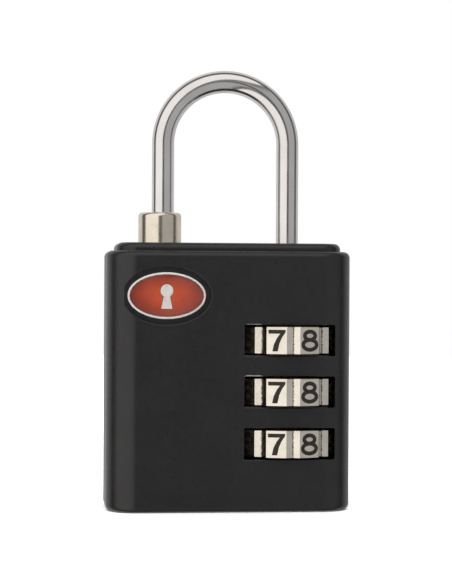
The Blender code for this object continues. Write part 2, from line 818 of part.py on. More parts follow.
def release_plate():
    """A folded strip: a foot with the cam slot, an upright, and a fork over the sleeve stack."""
    neck = PLATE_HALF_NECK
    left, right = PLATE_LEFT, PLATE_LEFT + PLATE_GAUGE
    top = PLATE_HEAD + PLATE_GAUGE
    overlap = 0.1 * MM
    side, fork_left, fork_right = 5.5 * MM, 3.6 * MM, 13.8 * MM
    obj = box("release_plate", (left, -neck, PLATE_FOOT), (right, neck, top))
    join(
        obj,
        box("plate_neck", (left + overlap, -neck, PLATE_HEAD), (fork_left + 0.6 * MM, neck, top)),
        box("plate_head", (fork_left, -side, PLATE_HEAD), (fork_right, side, top)),
        box(
            "plate_foot",
            (-11.0 * MM, -2.2 * MM, PLATE_FOOT),
            (right - overlap, 3.6 * MM, PLATE_FOOT + PLATE_GAUGE),
        ),
    )
    leg_gap = WIRE + 0.2 * MM
    wide_x = LEG_X + PLATE_TRAVEL
    low, high = PLATE_HEAD - MM, top + MM
    slot_half = CAM_PIN_RADIUS + 0.12 * MM
    slot_x = KEY_X + PLATE_TRAVEL / 2
    cut(
        obj,
        cylinder("fork_small", Z_AXIS, leg_gap, (LEG_X, LOCK_Y, 0), low, high, sides=24),
        cylinder("fork_large", Z_AXIS, SHELF_BORE, (wide_x, LOCK_Y, 0), low, high),
        box("fork_way", (LEG_X, LOCK_Y - leg_gap, low), (wide_x, LOCK_Y + leg_gap, high)),
        box(
            "fork_mouth",
            (wide_x, LOCK_Y - SHELF_BORE, low),
            (fork_right + MM, LOCK_Y + SHELF_BORE, high),
        ),
        box(
            "cam_slot",
            (slot_x - slot_half, 0.6 * MM, PLATE_FOOT - MM),
            (slot_x + slot_half, 2.9 * MM, PLATE_FOOT + 2 * MM),
        ),
    )
    return finish(obj, STEEL)


# ---- badge ----

BADGE_BACK = FRONT_Y + RECESS_DEPTH - 0.05 * MM
BADGE_FRONT = FRONT_Y - 0.2 * MM
BADGE_RIM = 0.45 * MM
ENAMEL_BACK = BADGE_BACK - 0.25 * MM


def keyhole(grow=0.0):
    """A keyhole mark: a round eye over a tapering stem."""
    eye, stem, foot = 0.85 * MM + grow, 0.42 * MM + grow, 0.75 * MM + grow
    eye_z, low = 0.65 * MM, -1.75 * MM - grow
    angle = math.asin(stem / eye)
    arc = circle(eye, 16, (0, eye_z), -math.pi / 2 + angle, math.tau - 2 * angle)
    return arc + [(-foot, low), (foot, low)]


def badge_layer(name, outlines, back, front):
    centre = badge_place((back + front) / 2)
    return outline_piece(name, outlines, centre, back - front, rotation=(math.pi / 2, 0, 0))


def badge():
    """A metal oval with a raised rim and mark, and the enamel that fills it."""
    inner = (BADGE_WIDTH - 2 * BADGE_RIM, BADGE_HEIGHT - 2 * BADGE_RIM)
    plate = as_mesh(badge_layer("badge_plate", [oval(BADGE_WIDTH, BADGE_HEIGHT)], BADGE_BACK, BADGE_FRONT))
    field = as_mesh(badge_layer("badge_field", [oval(*inner)], ENAMEL_BACK, BADGE_FRONT - MM))
    mark = as_mesh(badge_layer("badge_mark", [keyhole()], ENAMEL_BACK + 0.1 * MM, BADGE_FRONT))
    cut(plate, field)
    join(plate, mark)
    finish(plate, NICKEL)
    gap = 0.05 * MM
    outlines = [oval(inner[0] - 2 * gap, inner[1] - 2 * gap), keyhole(gap)]
    enamel = badge_layer("badge_enamel", outlines, ENAMEL_BACK - gap, BADGE_FRONT + 0.05 * MM)
    finish(enamel, ENAMEL)


front_case()
back_case()
rivets()
top_cap()
shackle()
shackle_collar()
cap_screw()
code_wheels()
spacers()
detent_springs()
inner_frame()
springs()
cylinder_housing()
key_plug()
wafers()
key_cam()
cam_screw()
release_plate()
badge()
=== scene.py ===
"""The looks of the luggage padlock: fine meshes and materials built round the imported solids.

Lengths are in metres, in the solids' frame: X to the right, Y to the back, Z up.
"""

import json
import math

import bmesh
import bpy
from mathutils import Matrix, Vector


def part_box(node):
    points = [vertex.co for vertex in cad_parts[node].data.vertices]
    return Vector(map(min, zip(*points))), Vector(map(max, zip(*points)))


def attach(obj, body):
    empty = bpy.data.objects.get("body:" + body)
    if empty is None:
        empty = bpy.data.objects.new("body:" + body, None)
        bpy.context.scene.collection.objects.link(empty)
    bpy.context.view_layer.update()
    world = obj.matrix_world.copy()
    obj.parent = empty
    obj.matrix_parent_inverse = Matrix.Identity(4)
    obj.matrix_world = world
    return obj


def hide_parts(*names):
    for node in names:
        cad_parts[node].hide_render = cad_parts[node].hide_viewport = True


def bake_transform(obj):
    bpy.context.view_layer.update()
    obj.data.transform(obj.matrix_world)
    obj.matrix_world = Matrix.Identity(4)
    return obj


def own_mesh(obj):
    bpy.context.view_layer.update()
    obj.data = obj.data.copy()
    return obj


MM = 0.001
ROOT = "lock_body"

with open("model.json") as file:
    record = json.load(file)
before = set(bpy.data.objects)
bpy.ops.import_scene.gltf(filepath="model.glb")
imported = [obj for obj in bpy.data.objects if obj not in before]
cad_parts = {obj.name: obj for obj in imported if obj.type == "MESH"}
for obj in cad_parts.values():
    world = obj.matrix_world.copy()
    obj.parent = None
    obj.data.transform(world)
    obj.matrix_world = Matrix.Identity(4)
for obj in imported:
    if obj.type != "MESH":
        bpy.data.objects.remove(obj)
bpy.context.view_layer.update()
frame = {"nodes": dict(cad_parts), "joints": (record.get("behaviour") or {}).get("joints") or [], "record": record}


# ---- sizes read from the solids ----


def span(node, axis):
    low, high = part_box(node)
    return low[axis], high[axis]


def middle(node, axis):
    low, high = span(node, axis)
    return (low + high) / 2


def extent(node, axis):
    low, high = span(node, axis)
    return high - low


JOINTS = {joint["name"]: joint for joint in frame["joints"]}
WHEELS = ("bottom", "middle", "top")
LEG_X, LOCK_Y, _ = JOINTS["dial_top_spin"]["pos_m"]
KEY_X, KEY_Y, _ = JOINTS["key_turn"]["pos_m"]

CASE_FRONT, SEAM_FRONT = span("front_case", 1)
SEAM_BACK, CASE_BACK = span("back_case", 1)
CASE_TOP = span("front_case", 2)[1]
HALF_WIDTH = span("front_case", 0)[1]
HALF_DEPTH = CASE_BACK
CORNER = 4.1 * MM
EDGE = 0.8 * MM
WALL = 1.2 * MM
FLOOR = 1.3 * MM
WELL_ABOVE = 45 * MM

WHEEL_Z = {name: middle("dial_" + name, 2) for name in WHEELS}
WHEEL_HALF = extent("dial_top", 2) / 2
WHEEL_RADIUS = 7.3 * MM
WHEEL_GROOVE = 6.82 * MM
WHEEL_BORE = 3.8 * MM
FLAT_HALF_ANGLE = math.radians(11.0)
APOTHEM = WHEEL_RADIUS * math.cos(FLAT_HALF_ANGLE)
NUMBERS = 10
FIRST_NUMBER = 8
WINDOW_LEFT = 1.75 * MM
WINDOW_RIGHT = 14.0 * MM
WINDOW_HALF_HEIGHT = 2.1 * MM
POCKET = 7.6 * MM

WIRE = 1.5 * MM
TOE_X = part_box("shackle")[0].x + WIRE
ARCH_RADIUS = (LEG_X - TOE_X) / 2
ARCH_X = (LEG_X + TOE_X) / 2
ARCH_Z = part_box("shackle")[1].z - WIRE - ARCH_RADIUS
LEG_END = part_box("shackle")[0].z
TOE_END = 33.4 * MM

COLLAR_X = middle("shackle_collar", 0)
COLLAR_BASE, COLLAR_TOP = span("shackle_collar", 2)

BADGE_X, BADGE_Z = middle("badge_plate", 0), middle("badge_plate", 2)
BADGE_FRONT, BADGE_BACK = span("badge_plate", 1)
BADGE_WIDTH, BADGE_HEIGHT = extent("badge_plate", 0), extent("badge_plate", 2)


# ---- mesh tools ----


def add_object(name, bm):
    mesh = bpy.data.meshes.new(name)
    bm.to_mesh(mesh)
    bm.free()
    obj = bpy.data.objects.new(name, mesh)
    bpy.context.scene.collection.objects.link(obj)
    return obj


def loft(name, rings):
    """A closed skin over rings of equally many points, with a cap on each end."""
    bm = bmesh.new()
    rows = [[bm.verts.new(point) for point in ring] for ring in rings]
    count = len(rows[0])
    for low, high in zip(rows, rows[1:]):
        for i in range(count):
            j = (i + 1) % count
            bm.faces.new((low[i], low[j], high[j], high[i]))
    bm.faces.new(list(reversed(rows[0])))
    bm.faces.new(rows[-1])
    bmesh.ops.recalc_face_normals(bm, faces=bm.faces)
    return add_object(name, bm)


def revolve(name, profile, centre, steps=64, solid=False, turn=None):
    """A turned piece from (radius, height) points.

    The points are a closed loop, or an open line from axis to axis if the piece is solid.
    """
    bm = bmesh.new()
    place = Matrix.Translation(centre) @ (turn or Matrix.Identity(4))
    angles = [math.tau * i / steps for i in range(steps)]
    loops = []
    for radius, height in profile:
        if radius == 0:
            points = [(0, 0, height)]
        else:
            points = [(radius * math.cos(a), radius * math.sin(a), height) for a in angles]
        loops.append([bm.verts.new(place @ Vector(point)) for point in points])
    pairs = list(zip(loops, loops[1:]))
    if not solid:
        pairs.append((loops[-1], loops[0]))
    for first, second in pairs:
        for i in range(steps):
            j = (i + 1) % steps
            corners = (
                first[i % len(first)],
                first[j % len(first)],
                second[j % len(second)],
                second[i % len(second)],
            )
            bm.faces.new(list(dict.fromkeys(corners)))
    bmesh.ops.recalc_face_normals(bm, faces=bm.faces)
    return add_object(name, bm)


def soften(points, radius, steps=3):
    """A closed outline with each corner rounded."""
    made = []
    most = 0.45
    for i, point in enumerate(points):
        here = Vector(point)
        before = Vector(points[i - 1]) - here
        after = Vector(points[(i + 1) % len(points)]) - here
        reach = min(radius, before.length * most, after.length * most)
        start = here + before.normalized() * reach
        end = here + after.normalized() * reach
        for k in range(steps + 1):
            t = k / steps
            made.append(tuple(start * (1 - t) ** 2 + here * 2 * t * (1 - t) + end * t * t))
    return made


def arc(radius_x, radius_y, start, turn, steps, centre=(0, 0)):
    """Points along an arc from an angle through a turn, both in radians."""
    return [
        (
            centre[0] + radius_x * math.cos(start + turn * i / steps),
            centre[1] + radius_y * math.sin(start + turn * i / steps),
        )
        for i in range(steps + 1)
    ]


def oval(width, height, steps=96):
    return arc(width / 2, height / 2, 0, math.tau * (steps - 1) / steps, steps - 1)


def rounded_rectangle(half_x, half_y, radius, steps=12):
    """A rectangle with round corners, counter-clockwise from the right-hand side."""
    points = []
    for quarter, (sx, sy) in enumerate(((1, 1), (-1, 1), (-1, -1), (1, -1))):
        centre = (sx * (half_x - radius), sy * (half_y - radius))
        points += arc(radius, radius, quarter * math.pi / 2, math.pi / 2, steps, centre)
    return points


def at_height(points, z):
    return [(x, y, z) for x, y in points]


def at_depth(points, y, x=0.0, z=0.0):
    return [(x + across, y, z + up) for across, up in points]


def fillet(radius, steps=6):
    """(inset, rise) pairs from the end face of a rounded edge to its side."""
    angles = [math.pi / 2 * i / steps for i in range(steps + 1)]
    return [(radius * (1 - math.sin(a)), radius * (1 - math.cos(a))) for a in angles]


def carve(obj, operation, others):
    """Cuts or joins with an exact Boolean for each of the other shapes, which are then removed."""
    for other in others:
        modifier = obj.modifiers.new(other.name, "BOOLEAN")
        modifier.operation = operation
        modifier.solver = "EXACT"
        modifier.object = other
    bpy.context.view_layer.update()
    evaluated = obj.evaluated_get(bpy.context.evaluated_depsgraph_get())
    mesh = bpy.data.meshes.new_from_object(evaluated)
    obj.modifiers.clear()
    obj.data = mesh
    for other in others:
        bpy.data.objects.remove(other, do_unlink=True)


def cylinder(name, radius, low, high, x, y, steps=64, flare=0.0, flare_at=0.0):
    """An upright cutter; a flare widens its end at flare_at, so that the hole gets a soft rim."""
    rings = [(radius, low), (radius, high)]
    if flare:
        upward = 1 if flare_at > (low + high) / 2 else -1
        curve = [
            (radius + inset, flare_at - upward * rise) for inset, rise in fillet(flare, 4)
        ]
        if upward > 0:
            rings = [(radius, low)] + list(reversed(curve)) + [(radius + flare, high)]
        else:
            rings = [(radius + flare, low)] + curve + [(radius, high)]
    made = []
    for reach, z in rings:
        outline = [(x + across, y + back) for across, back in oval(2 * reach, 2 * reach, steps)]
        made.append(at_height(outline, z))
    return loft(name, made)


def box_shape(name, low, high):
    """An upright block between two opposite corners."""
    low, high = Vector(low), Vector(high)
    bm = bmesh.new()
    place = Matrix.Translation((low + high) / 2) @ Matrix.Diagonal((*(high - low), 1))
    bmesh.ops.create_cube(bm, size=1, matrix=place)
    return add_object(name, bm)


def finish_piece(obj, body, material, replaced=(), sharp=40):
    """Smooth shading with flat faces kept flat, the material, and the piece's body, if it rides on
    one. Edges of more than `sharp` degrees stay sharp."""
    obj.data.materials.clear()
    obj.data.materials.append(material)
    obj.data.shade_smooth()
    obj.data.set_sharp_from_angle(angle=math.radians(sharp))
    weighted = obj.modifiers.new("flat faces stay flat", "WEIGHTED_NORMAL")
    weighted.keep_sharp = True
    if body:
        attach(obj, body)
    if replaced:
        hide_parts(*replaced)


# ---- materials ----


class Graph:
    """A node tree with short ways to add the nodes used here."""

    def __init__(self, tree):
        self.tree = tree

    def add(self, kind, **settings):
        node = self.tree.nodes.new(kind)
        for key, value in settings.items():
            setattr(node, key, value)
        return node

    def link(self, output, target):
        self.tree.links.new(output, target)

    def maths(self, operation, first, second=None):
        node = self.add("ShaderNodeMath", operation=operation)
        self.link(first, node.inputs[0])
        if second is not None:
            self.link(second, node.inputs[1])
        return node.outputs["Value"]

    def ranged(self, value, low, high, start=0.35, end=0.65):
        """The value's range from start to end spread over low to high."""
        node = self.add("ShaderNodeMapRange")
        keys = ("From Min", "From Max", "To Min", "To Max")
        for key, number in zip(keys, (start, end, low, high)):
            node.inputs[key].default_value = number
        self.link(value, node.inputs["Value"])
        return node.outputs["Result"]

    def ramp(self, value, first, second, start=0.0, end=1.0):
        node = self.add("ShaderNodeValToRGB")
        for element, place, colour in zip(node.color_ramp.elements, (start, end), (first, second)):
            element.position = place
            element.color = (*colour, 1)
        self.link(value, node.inputs["Fac"])
        return node.outputs["Color"]


class Shader(Graph):
    """A principled material with object-space textures."""

    def __init__(self, name, metallic=0.0, specular=0.5):
        self.material = bpy.data.materials.new(name)
        self.material.use_nodes = True
        super().__init__(self.material.node_tree)
        self.surface = self.tree.nodes["Principled BSDF"]
        self.surface.inputs["Metallic"].default_value = metallic
        self.surface.inputs["Specular IOR Level"].default_value = specular
        self.place = self.add("ShaderNodeTexCoord").outputs["Object"]

    def noise(self, size, detail=3.0, stretch=(1, 1, 1)):
        """Noise with features of about this size in metres, stretched along the axes."""
        mapping = self.add("ShaderNodeMapping")
        mapping.inputs["Scale"].default_value = [1 / (size * s) for s in stretch]
        texture = self.add("ShaderNodeTexNoise")
        texture.inputs["Scale"].default_value = 1.0
        texture.inputs["Detail"].default_value = detail
        texture.inputs["Roughness"].default_value = 0.5
        self.link(self.place, mapping.inputs["Vector"])
        self.link(mapping.outputs["Vector"], texture.inputs["Vector"])
        return texture.outputs["Fac"]

    def colours(self, value, first, second, start=0.3, end=0.7):
        self.link(self.ramp(value, first, second, start, end), self.surface.inputs["Base Color"])

    def patch(self, centre, reach):
        """One inside a box of these half-sizes, with a ragged edge, and nothing outside it."""
        place = self.add("ShaderNodeMapping", vector_type="TEXTURE")
        place.inputs["Location"].default_value = centre
        place.inputs["Scale"].default_value = reach
        self.link(self.place, place.inputs["Vector"])
        size = self.add("ShaderNodeVectorMath", operation="ABSOLUTE")
        self.link(place.outputs["Vector"], size.inputs[0])
        parts = self.add("ShaderNodeSeparateXYZ")
        self.link(size.outputs["Vector"], parts.inputs["Vector"])
        farthest = self.maths("MAXIMUM", parts.outputs["X"], parts.outputs["Y"])
        farthest = self.maths("MAXIMUM", farthest, parts.outputs["Z"])
        ragged = self.maths("ADD", farthest, self.ranged(self.noise(0.2 * MM, 3), -0.25, 0.25))
        return self.ranged(ragged, 1.0, 0.0, 0.85, 1.05)

    def mixed(self, share, first, second):
        """The base colour as a mix of two colours."""
        node = self.add("ShaderNodeMixRGB")
        for source, key in ((share, "Fac"), (first, "Color1"), (second, "Color2")):
            self.link(source, node.inputs[key])
        self.link(node.outputs["Color"], self.surface.inputs["Base Color"])

    def roughness(self, value, low, high, start=0.3, end=0.7):
        self.link(self.ranged(value, low, high, start, end), self.surface.inputs["Roughness"])

    def bumps(self, *layers):
        """Bump layers as (height socket, depth in metres)."""
        previous = None
        for value, depth in layers:
            node = self.add("ShaderNodeBump")
            node.inputs["Strength"].default_value = 1.0
            node.inputs["Distance"].default_value = depth
            self.link(value, node.inputs["Height"])
            if previous:
                self.link(previous, node.inputs["Normal"])
            previous = node.outputs["Normal"]
        self.link(previous, self.surface.inputs["Normal"])


# painted highlights at two windows, bright bare metal patches standing in for glints there: how far right of the
# window's left end, and their half-sizes
GLINT_RUN = 1.2 * MM
GLINT_PATCHES = {
    "middle": (1.05 * MM, 0.2 * MM, 0.16 * MM),
    "top": (0.95 * MM, 0.2 * MM, 0.08 * MM),
}


def lacquer():
    """Satin dark lacquer on cast metal: faint cloudiness, a fine orange peel, and painted highlights: patches of
    bright bare metal at the upper left edge of two windows, set there as glints rather than as wear."""
    made = Shader("satin_lacquer", specular=0.5)
    dark, light = (0.0062, 0.0062, 0.0066), (0.0085, 0.0085, 0.0090)
    paint = made.ramp(made.noise(6 * MM, 4), dark, light, 0.3, 0.7)
    # painted highlight: bright bare metal in small patches at the upper left edges of two windows, standing in for
    # glints there
    glint_metal = made.ramp(made.noise(0.3 * MM, 3), (0.62, 0.61, 0.59), (0.92, 0.91, 0.88), 0.3, 0.7)
    glints = []
    for wheel, reach in GLINT_PATCHES.items():
        top_edge = WHEEL_Z[wheel] + WINDOW_HALF_HEIGHT
        glints.append(made.patch((WINDOW_LEFT + GLINT_RUN, CASE_FRONT, top_edge), reach))
    painted_glint = made.maths("MAXIMUM", *glints)
    made.mixed(painted_glint, paint, glint_metal)
    made.link(painted_glint, made.surface.inputs["Metallic"])
    made.roughness(made.noise(0.9 * MM, 5), 0.26, 0.34)
    made.bumps((made.noise(0.35 * MM, 3), 0.0012 * MM), (made.noise(0.08 * MM, 2), 0.0004 * MM))
    return made.material


def chrome():
    """Polished plate on drawn wire: faint draw lines and a few hazy patches."""
    made = Shader("chrome_plate", metallic=1.0)
    made.colours(made.noise(4 * MM, 3), (0.72, 0.71, 0.70), (0.80, 0.79, 0.78))
    made.roughness(made.noise(1.6 * MM, 6), 0.10, 0.18)
    lines = made.noise(0.12 * MM, 3, stretch=(1, 1, 40))
    made.bumps((lines, 0.0006 * MM), (made.noise(0.6 * MM, 3), 0.0020 * MM))
    return made.material


def collar_nickel():
    """Warm nickel with fine turning lines round the axis."""
    made = Shader("warm_nickel", metallic=1.0)
    made.colours(made.noise(2.5 * MM, 4), (0.72, 0.665, 0.55), (0.85, 0.79, 0.665))
    made.roughness(made.noise(0.8 * MM, 5), 0.13, 0.22)
    turned = made.noise(0.1 * MM, 2, stretch=(60, 60, 1))
    made.bumps((turned, 0.0012 * MM), (made.noise(0.5 * MM, 3), 0.0035 * MM))
    return made.material


def wheel_nickel():
    """Nickel plate on cast wheels with short polishing lines, and painted shade: a dark brown colour deep in the
    grooves.
    """
    made = Shader("wheel_nickel", metallic=1.0)
    plate = made.ramp(made.noise(1.4 * MM, 4), (0.74, 0.695, 0.60), (0.86, 0.82, 0.73), 0.3, 0.7)
    # painted shade: dark brown colour below the groove radius, standing in for the occlusion shade deep in the
    # grooves
    groove_shade = made.ramp(made.noise(0.3 * MM, 4), (0.10, 0.075, 0.05), (0.30, 0.24, 0.16), 0.3, 0.7)
    flat = made.add("ShaderNodeMapping")
    flat.inputs["Location"].default_value = (-LEG_X, -LOCK_Y, 0)
    flat.inputs["Scale"].default_value = (1, 1, 0)
    made.link(made.place, flat.inputs["Vector"])
    reach = made.add("ShaderNodeVectorMath", operation="LENGTH")
    made.link(flat.outputs["Vector"], reach.inputs[0])
    waver = made.ranged(made.noise(0.25 * MM, 4), -0.04 * MM, 0.04 * MM, 0.3, 0.7)
    ragged = made.maths("ADD", reach.outputs["Value"], waver)
    unshaded = made.ranged(ragged, 0.0, 1.0, WHEEL_GROOVE + 0.01 * MM, WHEEL_GROOVE + 0.07 * MM)
    made.mixed(unshaded, groove_shade, plate)
    made.roughness(made.noise(0.5 * MM, 5), 0.10, 0.20)
    polish = made.noise(0.07 * MM, 3, stretch=(1, 1, 20))
    made.bumps((polish, 0.0012 * MM), (made.noise(0.35 * MM, 3), 0.0045 * MM))
    return made.material


def number_paint():
    """Dark filling paint, slightly uneven."""
    made = Shader("number_paint", specular=0.25)
    made.colours(made.noise(0.25 * MM, 4), (0.008, 0.007, 0.006), (0.026, 0.021, 0.018))
    made.roughness(made.noise(0.15 * MM, 4), 0.35, 0.6)
    made.bumps((made.noise(0.12 * MM, 3), 0.004 * MM))
    return made.material


def badge_metal():
    """Bright satin plate, faintly brushed from side to side under a thin clear lacquer."""
    made = Shader("badge_metal", metallic=0.35, specular=0.6)
    made.colours(made.noise(1.2 * MM, 3), (0.53, 0.52, 0.495), (0.62, 0.61, 0.585))
    made.roughness(made.noise(0.6 * MM, 4), 0.26, 0.36)
    made.bumps((made.noise(0.06 * MM, 2, stretch=(20, 1, 1)), 0.0003 * MM))
    made.surface.inputs["Coat Weight"].default_value = 0.4
    made.surface.inputs["Coat Roughness"].default_value = 0.12
    return made.material


def enamel():
    """Glossy enamel over metal: orange-red in the middle, darker where it is deep at the rim."""
    made = Shader("red_enamel", specular=0.5)
    spot = made.add("ShaderNodeMapping", vector_type="TEXTURE")
    spot.inputs["Location"].default_value = (BADGE_X, BADGE_FRONT, BADGE_Z)
    spot.inputs["Scale"].default_value = (BADGE_WIDTH / 2, BADGE_WIDTH / 2, BADGE_HEIGHT / 2)
    made.link(made.place, spot.inputs["Vector"])
    depth = made.add("ShaderNodeVectorMath", operation="LENGTH")
    made.link(spot.outputs["Vector"], depth.inputs[0])
    cloud = made.ranged(made.noise(2.5 * MM, 2), -0.07, 0.07)
    mixed = made.maths("ADD", depth.outputs["Value"], cloud)
    made.colours(mixed, (0.330, 0.052, 0.022), (0.130, 0.020, 0.014), 0.30, 0.95)
    made.roughness(made.noise(0.9 * MM, 3), 0.10, 0.18)
    made.bumps((made.noise(1.2 * MM, 2), 0.003 * MM))
    made.surface.inputs["Coat Weight"].default_value = 0.5
    made.surface.inputs["Coat Roughness"].default_value = 0.05
    return made.material


def bare_metal(name, dark, light, rough_low, rough_high, grain=(1, 1, 12)):
    """Plain worked metal with a grain and slightly stained patches."""
    made = Shader(name, metallic=1.0)
    made.colours(made.noise(1.8 * MM, 5), dark, light)
    made.roughness(made.noise(0.6 * MM, 5), rough_low, rough_high)
    made.bumps((made.noise(0.08 * MM, 3, stretch=grain), 0.0015 * MM))
    return made.material


MATERIALS = {
    "body_paint": lacquer(),
    "shackle_chrome": chrome(),
    "collar_nickel": collar_nickel(),
    "wheel_nickel": wheel_nickel(),
    "badge_metal": badge_metal(),
    "badge_enamel": enamel(),
    "inner_steel": bare_metal("stamped_steel", (0.32, 0.315, 0.31), (0.46, 0.45, 0.44), 0.3, 0.5),
    "spring_steel": bare_metal("spring_steel", (0.22, 0.22, 0.23), (0.38, 0.38, 0.38), 0.2, 0.35),
    "inner_brass": bare_metal("machined_brass", (0.48, 0.33, 0.13), (0.62, 0.46, 0.20), 0.2, 0.38),
}
NUMBER_PAINT = number_paint()
# painted shade: the sleeves and spacers take a near-black brass, so that they read as the shade in the gaps above
# and below the wheels
SHADE_DARK_BRASS = bare_metal("greased_brass", (0.030, 0.024, 0.016), (0.075, 0.058, 0.036), 0.3, 0.5)

for row in frame["record"]["subparts"]:
    materials = frame["nodes"][row["node"]].data.materials
    in_shade = row["node"].startswith(("sleeve_", "spacer_"))
    materials.clear()
    materials.append(SHADE_DARK_BRASS if in_shade else MATERIALS[row["material_slot"]])


# ---- body ----


def case_block(name):
    """The whole outside of the body, with rounded corners and rims."""
    rings = []
    for inset, rise in fillet(EDGE, 8):
        outline = rounded_rectangle(HALF_WIDTH - inset, HALF_DEPTH - inset, CORNER - inset, 16)
        rings.append((rise, outline))
    rings += [(CASE_TOP - rise, outline) for rise, outline in reversed(rings)]
    return loft(name, [at_height(outline, z) for z, outline in rings])


def half_space(name, seam, away):
    """What one half keeps: it ends at the seam with a small chamfer round the outside."""
    chamfer, hair, far, clear = 0.12 * MM, 0.002 * MM, 20 * MM, 5 * MM
    half_z = CASE_TOP / 2
    rings = []
    for y, margin in (
        (seam - away * far, clear),
        (seam - away * (chamfer + hair), clear),
        (seam - away * chamfer, hair),
        (seam, -chamfer),
    ):
        outline = rounded_rectangle(HALF_WIDTH + margin, half_z + margin, EDGE, 8)
        rings.append(at_depth(outline, y, z=half_z))
    return loft(name, rings)


def window_cutter(name, z):
    """A slot through the front wall with softened outer edges."""
    flare, corner, back = 0.14 * MM, 0.2 * MM, LOCK_Y - 3 * MM
    middle_x, half_width = (WINDOW_LEFT + WINDOW_RIGHT) / 2, (WINDOW_RIGHT - WINDOW_LEFT) / 2
    rings = [(CASE_FRONT - MM, flare)]
    rings += [(CASE_FRONT + rise, inset) for inset, rise in fillet(flare, 4)]
    rings.append((back, 0.0))
    made = []
    for y, grow in rings:
        outline = rounded_rectangle(half_width + grow, WINDOW_HALF_HEIGHT + grow, corner + grow, 4)
        made.append(at_depth(outline, y, middle_x, z))
    return loft(name, made)


def badge_recess():
    """An oval hollow with a soft edge, a little wider than the badge."""
    margin, depth, flare = 0.7 * MM, 0.45 * MM, 0.2 * MM
    rings = [(CASE_FRONT - MM, flare)]
    rings += [(CASE_FRONT + rise, inset) for inset, rise in fillet(flare, 4)]
    rings.append((CASE_FRONT + depth, 0.0))
    made = []
    for y, grow in rings:
        reach = 2 * (margin + grow)
        outline = oval(BADGE_WIDTH + reach, BADGE_HEIGHT + reach)
        made.append(at_depth(outline, y, BADGE_X, BADGE_Z))
    return loft("badge_recess", made)


def rivet_places():
    """Each rivet's node, X and Z."""
    for name in ("left", "middle", "right"):
        node = "case_rivet_" + name
        yield node, middle(node, 0), middle(node, 2)


def along_y(name, radius, low, high, x, z):
    """A round bar from front to back."""
    outline = oval(2 * radius, 2 * radius, 32)
    return loft(name, [at_depth(outline, y, x, z) for y in (low, high)])


def case_half(name, node, front):
    """One half of the body: a hollow block with bosses, windows and holes, cut at the seam."""
    boss, shank, head, head_depth = 1.2 * MM, 0.7 * MM, 1.08 * MM, 0.6 * MM
    key_hole, key_flare = 3.05 * MM, 0.15 * MM
    behind = 9 * MM
    obj = case_block(name)
    cavity = rounded_rectangle(HALF_WIDTH - WALL, HALF_DEPTH - WALL, CORNER - WALL, 12)
    hollow = loft("cavity", [at_height(cavity, z) for z in (FLOOR, WELL_ABOVE)])
    carve(obj, "DIFFERENCE", [hollow])
    bosses = [
        along_y("boss", boss, CASE_FRONT + WALL / 2, CASE_BACK - WALL / 2, x, z)
        for _, x, z in rivet_places()
    ]
    carve(obj, "UNION", bosses)
    cutters = []
    for wheel in WHEELS:
        z = WHEEL_Z[wheel]
        low, high = z - WINDOW_HALF_HEIGHT, z + WINDOW_HALF_HEIGHT
        cutters.append(cylinder("pocket", POCKET, low, high, LEG_X, LOCK_Y, 96))
        if front:
            corner_low = (LEG_X - POCKET, LOCK_Y, low)
            cutters.append(box_shape("way_in", corner_low, (LEG_X + POCKET, 2 * MM, high)))
            cutters.append(window_cutter("window", z))
    cutters.append(cylinder("key_hole", key_hole, -MM, 2 * MM, KEY_X, KEY_Y, 64, key_flare))
    if front:
        cutters.append(badge_recess())
    for _, x, z in rivet_places():
        cutters.append(along_y("shank_hole", shank, CASE_FRONT + 2 * MM, behind, x, z))
        cutters.append(along_y("head_seat", head, CASE_BACK - head_depth, behind, x, z))
    carve(obj, "DIFFERENCE", cutters)
    kept = half_space("half", SEAM_FRONT, 1) if front else half_space("half", SEAM_BACK, -1)
    carve(obj, "INTERSECT", [kept])
    finish_piece(obj, ROOT, MATERIALS["body_paint"], [node])


def rivets():
    """Low domed heads set just under the back face, on their shanks."""
    turn = Matrix.Rotation(-math.pi / 2, 4, "X")
    head, shank, depth, crown = 1.0 * MM, 0.6 * MM, 0.5 * MM, 0.10 * MM
    for node, x, z in rivet_places():
        low, high = span(node, 1)
        length = high - low
        dome = [(head * t, -crown * t**3) for t in (0.0, 0.3, 0.55, 0.75, 0.9, 1.0)]
        profile = dome + [(head, -depth), (shank, -depth), (shank, -length), (0, -length)]
        obj = revolve(node + "_fine", profile, (x, high, z), 32, True, turn)
        finish_piece(obj, ROOT, MATERIALS["body_paint"], [node])


def top_cap():
    """The plug that closes the body's top, with a rounded rim and soft-edged holes."""
    half_x = span("top_cap", 0)[1]
    half_y = span("top_cap", 1)[1]
    low, high = span("top_cap", 2)
    corner, rim = CORNER - WALL - 0.1 * MM, 0.8 * MM
    leg_hole, leg_flare = WIRE + 0.15 * MM, 0.15 * MM
    collar_hole, collar_flare = 2.98 * MM, 0.12 * MM
    stack_room, stack_top = 3.9 * MM, 34.2 * MM
    flange_room, flange_top = 3.5 * MM, 30.75 * MM
    rings = [at_height(rounded_rectangle(half_x, half_y, corner), low)]
    for inset, rise in reversed(fillet(rim, 6)):
        outline = rounded_rectangle(half_x - inset, half_y - inset, corner - inset)
        rings.append(at_height(outline, high - rise))
    obj = loft("top_cap_fine", rings)
    above = high + MM
    cutters = [
        cylinder("leg_hole", leg_hole, low, above, LEG_X, LOCK_Y, 64, leg_flare, high),
        cylinder("stack_room", stack_room, low - MM, stack_top, LEG_X, LOCK_Y),
        cylinder("collar_hole", collar_hole, low, above, COLLAR_X, LOCK_Y, 64, collar_flare, high),
        cylinder("flange_room", flange_room, low - MM, flange_top, COLLAR_X, LOCK_Y),
    ]
    carve(obj, "DIFFERENCE", cutters)
    finish_piece(obj, ROOT, MATERIALS["body_paint"], ["top_cap"])


# ---- shackle and collar ----


